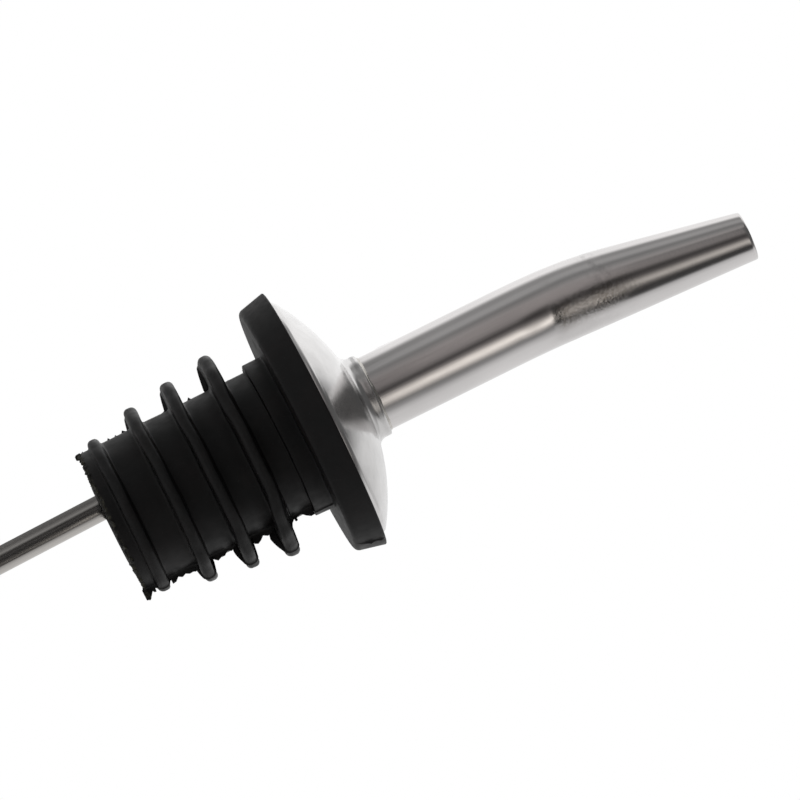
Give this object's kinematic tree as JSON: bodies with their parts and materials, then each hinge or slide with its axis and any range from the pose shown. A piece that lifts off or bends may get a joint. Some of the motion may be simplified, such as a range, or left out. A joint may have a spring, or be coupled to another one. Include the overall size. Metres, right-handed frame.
{
  "type": "liquor pour spout",
  "caption": "Free-flow liquor pour spout with a bent steel tube, dome cap, breather tube and a ribbed rubber stopper.",
  "frame": {"origin": "on the stopper's axis, in the plane of the flange's underside, which rests on the bottle's lip", "axes": "+Z along the stopper's axis, out of the bottle towards the pouring tip; +X towards the side the spout bends to; the breather and its vent are on the -X side, 25 degrees round towards +Y"},
  "size_m": [0.0308, 0.0308, 0.1105],
  "materials": {
    "stopper_rubber": "matte moulded black rubber",
    "spout_steel": "polished stainless steel, sandy where it is swaged",
    "dome_steel": "polished stainless sheet",
    "breather_steel": "drawn stainless tube",
    "braze": "silver braze"
  },
  "bodies": {
    "stopper": {"stopper": "stopper_rubber"},
    "spout": {"spout_tube": "spout_steel", "dome_cap": "dome_steel", "breather_tube": "breather_steel", "neck_braze_ring": "braze", "vent_braze_ring": "braze"}
  },
  "joints": [
    {"name": "stopper_pull_off", "type": "slide", "parent": "stopper", "child": "spout", "axis": [0, 0, 1], "range_m": [0, 0.062]}
  ]
}
